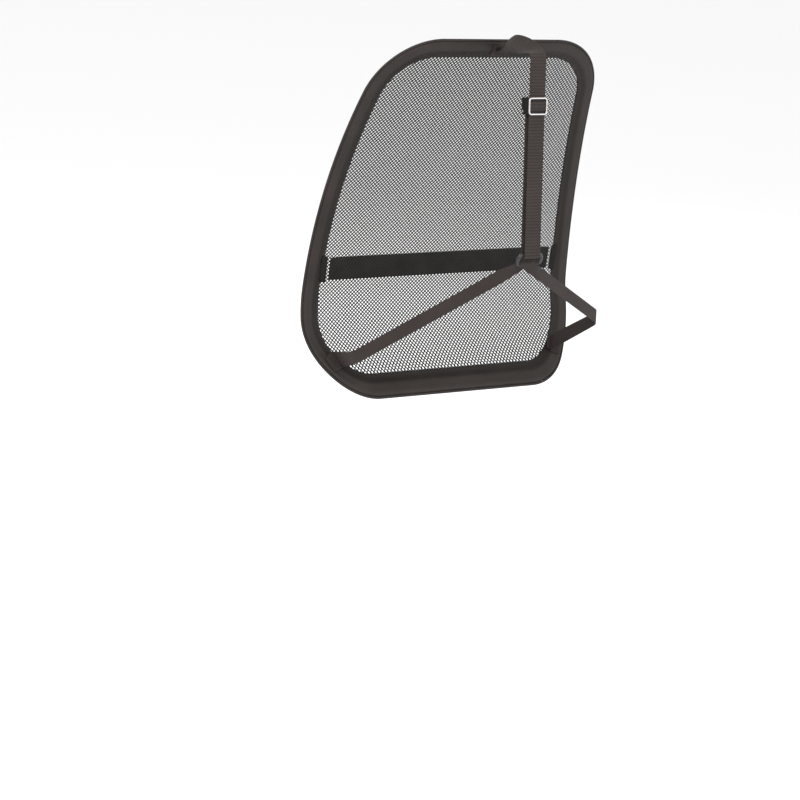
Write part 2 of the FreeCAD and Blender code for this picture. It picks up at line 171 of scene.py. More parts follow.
def stitches(name, rows, material, body, size=(2.4, 0.55)):
    """Rows of thread stitches: each row is a start, an end and the direction out of the cloth."""
    length, thick = size[0] * MM, size[1] * MM
    points, faces = [], []
    for start, end, out in rows:
        start, end, out = (np.asarray(value, float) for value in (start, end, out))
        run = np.linalg.norm(end - start)
        along = (end - start) / run
        side = unit(np.cross(along, out))
        for step in range(max(1, int(run / (length * 1.35)))):
            centre = start + along * ((step + 0.5) * length * 1.35)
            base = len(points)
            for place, swell in ((-0.5, 0.25), (-0.3, 0.9), (0, 1.1), (0.3, 0.9), (0.5, 0.25)):
                for turn in range(6):
                    angle = turn * math.pi / 3
                    reach = thick / 2 * swell
                    points.append(
                        centre + along * (place * length)
                        + side * (math.cos(angle) * reach) + out * (math.sin(angle) * reach * 0.8)
                    )
            for ring in range(4):
                for turn in range(6):
                    here, there = base + ring * 6, base + ring * 6 + 6
                    after = (turn + 1) % 6
                    faces.append((here + turn, here + after, there + after, there + turn))
            faces.append(tuple(base + turn for turn in range(5, -1, -1)))
            faces.append(tuple(base + 24 + turn for turn in range(6)))
    piece = make_object(name, points, faces)
    piece.data.materials.append(material)
    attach(piece, body)
    return piece


# ---------------------------------------------------------------- materials
class Nodes:
    """A material's node tree, with short calls for the nodes that the cloths and metals share."""

    def __init__(self, name, colour, roughness, **sockets):
        self.material = bpy.data.materials.new(name)
        self.material.use_nodes = True
        self.tree = self.material.node_tree
        self.shader = self.tree.nodes["Principled BSDF"]
        self.shader.inputs["Base Color"].default_value = (*colour, 1)
        self.shader.inputs["Roughness"].default_value = roughness
        for socket, value in sockets.items():
            self.shader.inputs[socket.replace("_", " ")].default_value = value

    def add(self, kind, **values):
        node = self.tree.nodes.new(kind)
        for key, value in values.items():
            if key in node.inputs:
                node.inputs[key].default_value = value
            else:
                setattr(node, key, value)
        return node

    def link(self, source, target):
        self.tree.links.new(source, target)

    def math(self, operation, first, second=0.0, clamp=False):
        node = self.add("ShaderNodeMath", operation=operation, use_clamp=clamp)
        for socket, value in zip(node.inputs, (first, second)):
            if isinstance(value, (int, float)):
                socket.default_value = value
            else:
                self.link(value, socket)
        return node.outputs[0]

    def cloth_place(self):
        """Across and along the cloth, in metres."""
        source = self.add("ShaderNodeAttribute", attribute_name="weave")
        split = self.add("ShaderNodeSeparateXYZ")
        self.link(source.outputs["Vector"], split.inputs[0])
        return split.outputs[0], split.outputs[1]

    def object_place(self):
        return self.add("ShaderNodeTexCoord").outputs["Object"]

    def wave(self, value, pitch, sharp=1.0):
        """A ridge profile from 0 to 1 that repeats every pitch metres."""
        angle = self.math("MULTIPLY", value, math.pi / pitch)
        ridge = self.math("ABSOLUTE", self.math("SINE", angle))
        return self.math("POWER", ridge, sharp)

    def noise(self, scale, detail=3, coordinates=None):
        node = self.add("ShaderNodeTexNoise", Scale=scale, Detail=detail)
        self.link(coordinates or self.object_place(), node.inputs["Vector"])
        return node.outputs["Fac"]

    def bump(self, height, strength, distance):
        node = self.add("ShaderNodeBump", Strength=strength, Distance=distance)
        self.link(height, node.inputs["Height"])
        self.link(node.outputs[0], self.shader.inputs["Normal"])

    def colour(self, factor, dark, light):
        ramp = self.add("ShaderNodeMix", data_type="RGBA")
        ramp.inputs[6].default_value = (*dark, 1)
        ramp.inputs[7].default_value = (*light, 1)
        self.link(factor, ramp.inputs[0])
        self.link(ramp.outputs[2], self.shader.inputs["Base Color"])

    def rough(self, factor, low, high):
        spread = self.add("ShaderNodeMapRange")
        spread.inputs["To Min"].default_value = low
        spread.inputs["To Max"].default_value = high
        self.link(factor, spread.inputs["Value"])
        self.link(spread.outputs[0], self.shader.inputs["Roughness"])


def webbing_material(name, rib, groove_depth, dark, light):
    """Woven webbing: cross ribs, lengthwise warp lines and a little fuzz."""
    nodes = Nodes(name, light, 0.7, Sheen_Weight=0.02, Sheen_Roughness=0.5, Specular_IOR_Level=0.16)
    across, along = nodes.cloth_place()
    ribs = nodes.wave(along, rib, 0.7)
    warp = nodes.wave(across, 0.9 * MM, 0.8)
    weave = nodes.math("ADD", nodes.math("MULTIPLY", ribs, 0.65), nodes.math("MULTIPLY", warp, 0.35))
    fuzz = nodes.noise(900, 4)
    worn = nodes.noise(22, 3)
    height = nodes.math("ADD", weave, nodes.math("MULTIPLY", fuzz, 0.35))
    nodes.bump(height, 0.9, groove_depth)
    tone = nodes.math("ADD", nodes.math("MULTIPLY", weave, 0.6), nodes.math("MULTIPLY", worn, 0.5), True)
    nodes.colour(tone, dark, light)
    nodes.rough(fuzz, 0.6, 0.85)
    return nodes.material


def satin_material():
    """The binding's satin: a fine diagonal weave, soft gloss, slight tone changes where it is
    pulled round the hoop, and painted shade that darkens its inner part, where it folds in."""
    light, dark = (0.036, 0.029, 0.026), (0.008, 0.006, 0.005)
    nodes = Nodes(
        "binding_satin", light, 0.55, Sheen_Weight=0.02, Sheen_Roughness=0.35, Specular_IOR_Level=0.2
    )
    across, along = nodes.cloth_place()
    twill = nodes.wave(nodes.math("ADD", across, along), 0.8 * MM, 0.8)
    counter = nodes.wave(along, 0.55 * MM, 1)
    weave = nodes.math("ADD", nodes.math("MULTIPLY", twill, 0.7), nodes.math("MULTIPLY", counter, 0.3))
    pull = nodes.noise(30, 4)
    lint = nodes.noise(700, 3)
    nodes.bump(nodes.math("ADD", weave, nodes.math("MULTIPLY", lint, 0.5)), 0.5, 0.12 * MM)
    tone = nodes.math("ADD", nodes.math("MULTIPLY", weave, 0.35), nodes.math("MULTIPLY", pull, 0.75), True)
    # Painted shade: the colour darkens to half over the binding's inner part, from 13 mm to 18 mm in from the
    # hoop's outer edge, on both faces, as the shade in its fold.
    painted_fold_shade = nodes.add("ShaderNodeMapRange", interpolation_type="SMOOTHSTEP")
    nodes.link(nodes.math("ABSOLUTE", across), painted_fold_shade.inputs["Value"])
    for socket, value in (("From Min", 13 * MM), ("From Max", 18 * MM), ("To Min", 1), ("To Max", 0.5)):
        painted_fold_shade.inputs[socket].default_value = value
    nodes.colour(nodes.math("MULTIPLY", tone, painted_fold_shade.outputs[0]), dark, light)
    nodes.rough(pull, 0.42, 0.7)
    return nodes.material


def net_material():
    """The net's dull black yarn."""
    nodes = Nodes("net_yarn", (0.008, 0.007, 0.007), 0.6, Specular_IOR_Level=0.2)
    yarn = nodes.noise(1500, 2)
    shade = nodes.noise(60, 3)
    nodes.bump(yarn, 0.5, 0.1 * MM)
    nodes.colour(shade, (0.004, 0.004, 0.004), (0.014, 0.012, 0.011))
    nodes.rough(yarn, 0.5, 0.75)
    return nodes.material


def band_material():
    """The lumbar band's elastic: close lengthwise cords, fine cross ribs and the net's diamonds pressed
    into it."""
    nodes = Nodes("band_elastic", (0.01, 0.01, 0.01), 0.75, Specular_IOR_Level=0.2)
    across, along = nodes.cloth_place()
    cords = nodes.wave(across, 1.5 * MM, 0.6)
    ribs = nodes.wave(along, 0.7 * MM, 1)
    weave = nodes.math("ADD", nodes.math("MULTIPLY", cords, 0.7), nodes.math("MULTIPLY", ribs, 0.3))
    run = nodes.math("DIVIDE", along, NET_ACROSS)
    rise = nodes.math("DIVIDE", across, NET_UP)
    rising = nodes.wave(nodes.math("ADD", run, rise), 1, 6)
    falling = nodes.wave(nodes.math("SUBTRACT", run, rise), 1, 6)
    diamonds = nodes.math("MAXIMUM", rising, falling)
    nodes.bump(nodes.math("ADD", weave, nodes.math("MULTIPLY", diamonds, 1.5)), 0.8, 0.25 * MM)
    nodes.colour(
        nodes.math("MULTIPLY", diamonds, nodes.noise(40, 3)), (0.004, 0.004, 0.004), (0.030, 0.026, 0.024)
    )
    nodes.rough(weave, 0.65, 0.85)
    return nodes.material


def thread_material():
    nodes = Nodes("black_thread", (0.02, 0.017, 0.016), 0.6, Specular_IOR_Level=0.3)
    twist = nodes.noise(2500, 2)
    nodes.bump(twist, 0.6, 0.08 * MM)
    nodes.colour(twist, (0.006, 0.005, 0.005), (0.034, 0.029, 0.027))
    return nodes.material


def metal_material(name, colour, low, high, metallic=1.0, scratch=180, **sockets):
    """Metal with fine handling marks: uneven gloss and a shallow grain."""
    nodes = Nodes(name, colour, low, Metallic=metallic, **sockets)
    grain = nodes.noise(scratch, 6)
    marks = nodes.noise(scratch * 9, 2)
    nodes.bump(nodes.math("ADD", grain, nodes.math("MULTIPLY", marks, 0.3)), 0.15, 0.05 * MM)
    nodes.colour(grain, tuple(0.72 * value for value in colour), colour)
    nodes.rough(grain, low, high)
    return nodes.material


def plastic_material():
    """Moulded black plastic with a fine spark-eroded texture."""
    nodes = Nodes("moulded_black", (0.006, 0.006, 0.006), 0.5, Specular_IOR_Level=0.2)
    spark = nodes.noise(1400, 2)
    nodes.bump(spark, 0.25, 0.06 * MM)
    nodes.colour(nodes.noise(90, 3), (0.003, 0.003, 0.003), (0.009, 0.007, 0.006))
    nodes.rough(spark, 0.4, 0.6)
    return nodes.material


satin = satin_material()
net_yarn = net_material()
elastic = band_material()
thread = thread_material()
webbing = webbing_material("ribbed_webbing", 4.2 * MM, 0.6 * MM, (0.004, 0.003, 0.003), (0.048, 0.038, 0.034))
side_web = webbing_material(
    "smooth_webbing", 1.1 * MM, 0.16 * MM, (0.012, 0.009, 0.008), (0.038, 0.029, 0.026)
)
bright_metal = metal_material("bright_die_cast", (0.60, 0.58, 0.58), 0.2, 0.4)
steel = metal_material("spring_steel", (0.42, 0.42, 0.43), 0.25, 0.45)
dark_metal = metal_material("black_ring", (0.030, 0.028, 0.027), 0.25, 0.42, metallic=0.4, Coat_Weight=0.2)
black_plastic = plastic_material()

# ---------------------------------------------------------------- the hoop's surface
HALF_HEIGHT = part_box("edge_piping")[1][2]
PIPING = 3 * MM
BINDING = 24 * MM
TOP_CENTRE = np.array([91 * MM, HALF_HEIGHT - 99 * MM])
BOTTOM_CENTRE = np.array([128 * MM, 98 * MM - HALF_HEIGHT])
TOP_CORNER, BOTTOM_CORNER, SIDE = 99 * MM, 98 * MM, 2200 * MM
APEX_Y, APEX_Z = -97 * MM, -112 * MM
CURL = math.radians(50)
EDGE_TOP = -4.5 * MM
EDGE_BOTTOM = -4 * MM / math.cos(CURL)


def large_arc_centre():
    """The centre of the slightly rounded side's arc, which touches both corner arcs."""
    reach_top, reach_bottom = SIDE - TOP_CORNER, SIDE - BOTTOM_CORNER
    between = BOTTOM_CENTRE - TOP_CENTRE
    span = np.linalg.norm(between)
    along = (reach_top**2 - reach_bottom**2 + span**2) / (2 * span)
    direction = between / span
    inward = np.array([direction[1], -direction[0]])
    return TOP_CENTRE + direction * along + inward * math.sqrt(reach_top**2 - along**2)


SIDE_CENTRE = large_arc_centre()
upper_rise, upper_depth = HALF_HEIGHT - APEX_Z, EDGE_TOP - APEX_Y
UPPER_RADIUS = (upper_rise**2 + upper_depth**2) / (2 * upper_depth)
lower_drop, lower_depth = APEX_Z + HALF_HEIGHT, EDGE_BOTTOM - APEX_Y
LOWER_RADIUS = (lower_drop * math.tan(CURL) - lower_depth) / (1 / math.cos(CURL) - 1)


def bow(height):
    """The hoop's mid-surface at a height: its Y and the direction out of it, towards the chair."""
    if height >= APEX_Z:
        angle = math.asin(min(1, (height - APEX_Z) / UPPER_RADIUS))
        return APEX_Y + UPPER_RADIUS * (1 - math.cos(angle)), np.array([0, math.cos(angle), -math.sin(angle)])
    drop = APEX_Z - height
    arc_drop = LOWER_RADIUS * math.sin(CURL)
    angle = math.asin(min(drop, arc_drop) / LOWER_RADIUS)
    y = APEX_Y + LOWER_RADIUS * (1 - math.cos(angle)) + max(0, drop - arc_drop) * math.tan(CURL)
    return y, np.array([0, math.cos(angle), math.sin(angle)])


def surface(x, height, offset=0.0):
    y, out = bow(height)
    return np.array([x, y, height]) + out * offset


def outline(step=4 * MM):
    """The hoop's outline from the top middle round by +X: for each place, the corner or side centre it
    turns about, its direction from there and its radius, so that it can be drawn in by any inset."""
    upper = math.atan2(*(TOP_CENTRE - SIDE_CENTRE)[::-1])
    lower = math.atan2(*(BOTTOM_CENTRE - SIDE_CENTRE)[::-1])
    places = []

    def flat(start, end, height, sign):
        for value in np.linspace(start, end, max(2, int(abs(end - start) / step)), endpoint=False):
            places.append((np.array([value, 0.0]), np.array([0.0, sign]), height))

    def bend(centre, radius, start, end):
        count = max(6, int(abs(end - start) * radius / step))
        for angle in np.linspace(start, end, count, endpoint=False):
            places.append((centre, np.array([math.cos(angle), math.sin(angle)]), radius))

    flat(0, TOP_CENTRE[0], HALF_HEIGHT, 1.0)
    bend(TOP_CENTRE, TOP_CORNER, math.pi / 2, upper)
    bend(SIDE_CENTRE, SIDE, upper, lower)
    bend(BOTTOM_CENTRE, BOTTOM_CORNER, lower, -math.pi / 2)
    flat(BOTTOM_CENTRE[0], 0, HALF_HEIGHT, -1.0)
    mirrored = [(centre * [-1, 1], way * [-1, 1], radius) for centre, way, radius in places[:0:-1]]
    start = [(np.array([0.0, 0.0]), np.array([0.0, -1.0]), HALF_HEIGHT)]
    return places + start + mirrored


def edge_point(place, inset, offset=0.0):
    centre, way, radius = place
    x, height = centre + way * (radius - inset)
    return surface(x, height, offset)


def inside(x, height, inset):
    """Whether a place on the panel is inside the outline drawn in by inset."""
    x = abs(x)
    if height > TOP_CENTRE[1] and x > TOP_CENTRE[0]:
        return math.hypot(x - TOP_CENTRE[0], height - TOP_CENTRE[1]) < TOP_CORNER - inset
    if height < BOTTOM_CENTRE[1] and x > BOTTOM_CENTRE[0]:
        return math.hypot(x - BOTTOM_CENTRE[0], height - BOTTOM_CENTRE[1]) < BOTTOM_CORNER - inset
    if abs(height) > HALF_HEIGHT - inset:
        return False
    return math.hypot(x - SIDE_CENTRE[0], height - SIDE_CENTRE[1]) < SIDE - inset


# ---------------------------------------------------------------- binding and piping
def binding_half(inset):
    """Half the binding's thickness at an inset: full over the hoop rod, thin at the sewn inner edge."""
    from_outer = (inset - PIPING) / BINDING
    body = 4.0 * MM * min(1, math.sqrt(max(0, from_outer) / 0.10))
    slim = 1.5 * MM + 2.5 * MM * (0.5 + 0.5 * math.cos(math.pi * min(1, max(0, (from_outer - 0.52) / 0.28))))
    return min(body, slim)


def make_binding():
    """Fabric folded over the hoop: full where it holds the rod and flat at the sewn edge, with small
    gathers that grow round the corners."""
    places = outline(2.5 * MM)
    shares = [0, 0.012, 0.04, 0.09, 0.16, 0.25, 0.35, 0.45, 0.52, 0.6, 0.68, 0.76, 0.84, 0.9, 0.95, 1.0]
    insets = [PIPING + BINDING * share for share in shares]
    loop = [(inset, 1) for inset in insets] + [(inset, -1) for inset in insets[-1:0:-1]]
    points, weave, faces = [], [], []
    travelled, previous = 0.0, None
    for place in places:
        here = edge_point(place, PIPING)
        travelled += 0 if previous is None else np.linalg.norm(here - previous)
        previous = here
        cornering = 1.0 if place[2] < 0.11 else 0.35
        for inset, side in loop:
            share = (inset - PIPING) / BINDING
            gather = math.sin(travelled * 520 + side) * 0.5 + math.sin(travelled * 197 + 2 * side) * 0.5
            edge = math.exp(-((share - 0.78) / 0.16) ** 2) + 0.5 * math.exp(-((share - 0.1) / 0.1) ** 2)
            lift = binding_half(inset) + 0.32 * MM * gather * edge * cornering
            groove = 0.55 * MM * math.exp(-((share - 0.86) / 0.03) ** 2)
            lift = max(0.2 * MM, lift - groove)
            points.append(edge_point(place, inset, side * lift))
            weave.append((inset * side, travelled, 0))
    count = len(loop)
    for ring in range(len(places)):
        here, there = ring * count, (ring + 1) % len(places) * count
        for index in range(count):
            after = (index + 1) % count
            faces.append((here + index, there + index, there + after, here + after))
    piece = make_object("edge_binding_cloth", points, faces, weave)
    piece.data.materials.append(satin)
    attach(piece, "frame")
    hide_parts("edge_binding")

    sections = []
    for place in places:
        middle = edge_point(place, PIPING * 0.62)
        inward = unit(edge_point(place, PIPING * 2) - edge_point(place, 0))
        out = bow(middle[2])[1]
        sections.append((middle, inward, out, (1, 1)))
    radius = 1.75 * MM
    turns = [2 * math.pi * index / 10 for index in range(10)]
    profile = [(radius * math.cos(turn), radius * math.sin(turn)) for turn in turns]
    welt = sweep("edge_piping_cord", sections, profile, True)
    welt.data.materials.append(satin)
    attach(welt, "frame")
    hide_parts("edge_piping")

    rows = []
    stitch_places = outline(4.2 * MM)
    for side in (1, -1):
        inset = PIPING + BINDING * 0.86
        for first, second in zip(stitch_places, stitch_places[1:] + stitch_places[:1]):
            start = edge_point(first, inset, side * (binding_half(inset) - 0.05 * MM))
            end = edge_point(second, inset, side * (binding_half(inset) - 0.05 * MM))
            rows.append((start, end, bow(start[2])[1] * side))
    seam = stitches("binding_stitches", rows, thread, "frame", (2.6, 0.6))


# ---------------------------------------------------------------- net


def make_net():
    """The open net: a lattice of diamond holes with yarn between them, stretched over the bow. The
    object keeps it in three lengths, one below another."""
    tuck = PIPING + BINDING - 4 * MM
    rows = int(2 * HALF_HEIGHT / (NET_UP / 2)) + 2
    columns = int(0.46 / NET_ACROSS) + 2
    hole = 0.67
    lengths = {"upper": ([], [], {}), "middle": ([], [], {}), "lower": ([], [], {})}

    def corner(length, a, b):
        points, _, seen = length
        if (a, b) not in seen:
            seen[a, b] = len(points)
            points.append(surface((a / 2) * NET_ACROSS, (b / 2) * NET_UP))
        return seen[a, b]

    for row in range(-rows // 2, rows // 2):
        height = row * NET_UP / 2
        length = lengths["upper" if height > 70 * MM else "middle" if height >= APEX_Z else "lower"]
        points, faces, _ = length
        for column in range(-columns, columns):
            if (row + column) % 2:
                continue
            x = column * NET_ACROSS / 2
            if not inside(x, height, tuck):
                continue
            outer = [corner(length, column + i, row + j) for i, j in ((1, 0), (0, 1), (-1, 0), (0, -1))]
            base = len(points)
            for i, j in ((1, 0), (0, 1), (-1, 0), (0, -1)):
                points.append(
                    surface(x + i * hole * NET_ACROSS / 2, height + j * hole * NET_UP / 2, 0.15 * MM)
                )
            for index in range(4):
                after = (index + 1) % 4
                faces.append((outer[index], outer[after], base + after, base + index))
    for name, (points, faces, _) in lengths.items():
        piece = make_object(f"mesh_net_{name}", points, faces)
        thickness = piece.modifiers.new("thickness", "SOLIDIFY")
        thickness.thickness = 0.9 * MM
        thickness.offset = 0
        piece.data.materials.append(net_yarn)
        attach(piece, "frame")
        if name == "upper":
            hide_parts("mesh_panel")


# ---------------------------------------------------------------- lumbar band
def make_band():
    """The elastic band behind the net, with its ends folded under and sewn to the binding."""
    low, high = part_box("lumbar_band")
    middle = (low[2] + high[2]) / 2
    half = (high[2] - low[2]) / 2
    reach = high[0] - 0.5 * MM
    offset = 1.5 * MM
    points, weave, faces = [], [], []
    heights = np.linspace(-half, half, 15)
    columns = np.linspace(-reach, reach, 90)
    for x in columns:
        pinch = 1 - 0.03 * math.exp(-((reach - abs(x)) / (12 * MM)) ** 2)
        for side in (1, -1):
            for rise in heights[::side]:
                edge = math.sqrt(max(0.15, 1 - (rise / half) ** 8))
                points.append(surface(x, middle + rise * pinch, offset + side * 0.65 * MM * edge))
                weave.append((rise, x, 0))
    count = 2 * len(heights)
    for ring in range(len(columns) - 1):
        for index in range(count):
            after = (index + 1) % count
            here, there = ring * count, (ring + 1) * count
            faces.append((here + index, here + after, there + after, there + index))
    faces.append(tuple(range(count - 1, -1, -1)))
    faces.append(tuple(range((len(columns) - 1) * count, len(columns) * count)))
    piece = make_object("lumbar_band_elastic", points, faces, weave)
    piece.data.materials.append(elastic)
    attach(piece, "frame")
    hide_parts("lumbar_band")

    for name, sign in (("left", 1), ("right", -1)):
        inner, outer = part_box(f"lumbar_band_tab_{name}")
        near, far = (inner[0], outer[0]) if sign > 0 else (outer[0], inner[0])
        near += sign * 4.2 * MM
        half = (outer[2] - inner[2]) / 2
        heights = np.linspace(-half, half, 15)
        rows, tab_points, tab_weave, tab_faces = [], [], [], []
        steps = np.linspace(0, 1, 7)
        for share in steps:
            x = near + (far + sign * 2 * MM - near) * share
            for side in (1, -1):
                for rise in heights[::side]:
                    edge = math.sqrt(max(0.15, 1 - (rise / half) ** 8))
                    tab_points.append(surface(x, middle + rise * 1.01, 2.1 * MM + side * 0.9 * MM * edge))
                    tab_weave.append((rise, x * 3, 0))
        for ring in range(len(steps) - 1):
            for index in range(count):
                after = (index + 1) % count
                here, there = ring * count, (ring + 1) * count
                tab_faces.append((here + index, here + after, there + after, there + index))
        tab_faces.append(tuple(range(count - 1, -1, -1)))
        tab_faces.append(tuple(range((len(steps) - 1) * count, len(steps) * count)))
        tab = make_object(f"band_tab_{name}", tab_points, tab_faces, tab_weave)
        tab.data.materials.append(elastic)
        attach(tab, "frame")
        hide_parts(f"lumbar_band_tab_{name}")
        for share in (0.25, 0.7):
            x = near + (far - near) * share
            start = surface(x, middle - half * 0.92, 3.1 * MM)
            end = surface(x, middle + half * 0.92, 3.1 * MM)
            rows.append((start, end, np.array([0, 1.0, 0])))
        sewn = stitches(f"band_stitches_{name}", rows, thread, "frame", (2.2, 0.6))


# ---------------------------------------------------------------- the strap's own frame
joints = frame["record"]["behaviour"]["joints"]
slide_joint = next(joint for joint in joints if joint["name"] == "slide_travel")
ring_joint = next(joint for joint in frame["record"]["behaviour"]["joints"] if joint["name"] == "ring_tilt")
STRAP_UP = unit(slide_joint["axis"])
STRAP_OUT = np.array([0, STRAP_UP[2], -STRAP_UP[1]])
RING_AXIS = np.array(ring_joint["pos_m"])
ACROSS = np.array([1.0, 0, 0])
WEB_WIDTH, WEB_THICK = 25 * MM, 1.6 * MM
LAYER = 4.45 * MM
SLIDE_UP = 200 * MM
SLIDE_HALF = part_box("slide_frame")[1][0]


def on_strap(x, out, up):
    """A point in the frame of the strap down the chair's back, from the ring's upper bar."""
    return RING_AXIS + ACROSS * x + STRAP_OUT * out + STRAP_UP * up


def make_long_strap():
    """One length of webbing: sewn on the hoop, twisted over the chair's top, down the back and round
    the ring's upper bar."""
    top = on_strap(0, LAYER, 262 * MM)
    edge = HALF_HEIGHT
    keys = [
        (5 * MM, -6 * MM, edge - 18 * MM),
        (5 * MM, 5 * MM, edge - 13 * MM),
        (5 * MM, 20 * MM, edge - 4 * MM),
        (5 * MM, 36 * MM, edge + 2 * MM),
        (3 * MM, 55 * MM, edge + 3 * MM),
        (0.5 * MM, 73 * MM, edge + 1 * MM),
        (0, top[1] - 3.5 * MM, edge - 1.5 * MM),
        tuple(top),
        tuple(on_strap(0, LAYER, 250 * MM)),
    ]
    tilts = [30, 52, 72, 74, 56, 18, 2, 0, 0]
    widths = [(math.cos(math.radians(a)), 0, -math.sin(math.radians(a))) for a in tilts]
    centres = spline(keys, 70)
    across = spline(widths, 70)
    down = np.array([on_strap(0, LAYER, up) for up in np.linspace(248 * MM, 0, 80)])
    turn = [
        on_strap(0, LAYER * math.cos(a), -LAYER * math.sin(a)) for a in np.linspace(0.12, math.pi, 16)
    ]
    path = np.vstack([centres, down, turn])
    wide = np.vstack([across, np.tile(ACROSS, (len(down) + len(turn), 1))])
    scales = []
    for index in range(len(path)):
        scales.append((0.4 + 0.6 * min(1, index / 24), 1 + 0.5 * max(0, 1 - index / 12)))
    sections = ribbon_sections(path, wide, scales)
    piece = sweep("long_strap_webbing", sections, ribbon_profile(WEB_WIDTH, WEB_THICK))
    piece.data.materials.append(webbing)
    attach(piece, "frame")
    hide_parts("top_strap", "strap_front_layer", "strap_ring_fold")


def make_return_layer():
    """The webbing's return from the ring up to the slide."""
    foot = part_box("strap_return_layer")[1][2]
    length = (foot - RING_AXIS[2]) / STRAP_UP[2]
    centres = np.array([on_strap(0, -LAYER, up) for up in np.linspace(-0.2 * MM, length, 60)])
    sections = ribbon_sections(centres, np.tile(ACROSS, (60, 1)))
    piece = sweep("return_webbing", sections, ribbon_profile(WEB_WIDTH, WEB_THICK))
    piece.data.materials.append(webbing)
    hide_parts("strap_return_layer")
    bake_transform(piece)


def make_top_anchor():
    """The patch that sews the strap's end on the hoop's binding, with its bartacks."""
    low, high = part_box("top_strap_anchor")
    heights = np.linspace(low[2], high[2], 9)
    sections = []
    for height in heights:
        out = bow(height)[1]
        sections.append((surface(0, height, 4.9 * MM), ACROSS, out, (1, 1)))
    piece = sweep("top_anchor_webbing", sections, ribbon_profile(WEB_WIDTH, WEB_THICK))
    piece.data.materials.append(webbing)
    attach(piece, "frame")
    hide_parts("top_strap_anchor")
    rows = []
    for height in (low[2] + 2 * MM, low[2] + 3.4 * MM, high[2] - 2.5 * MM, high[2] - 3.9 * MM):
        left = surface(-10.5 * MM, height, 5.8 * MM)
        right = surface(10.5 * MM, height, 5.8 * MM)
        rows.append((left, right, bow(height)[1]))
    sewn = stitches("top_anchor_bartacks", rows, thread, "frame", (1.8, 0.7))


# ---------------------------------------------------------------- slide adjuster
def rounded_loop(half_x, half_z, radius, steps=6):
    """Points round a rounded rectangle, with the direction outward at each."""
    result = []
    for cx, cz, start in ((1, 1, 0), (-1, 1, 90), (-1, -1, 180), (1, -1, 270)):
        for step in range(steps + 1):
            angle = math.radians(start + 90 * step / steps)
            way = np.array([math.cos(angle), math.sin(angle)])
            result.append((np.array([cx * (half_x - radius), cz * (half_z - radius)]) + way * radius, way))
    return result


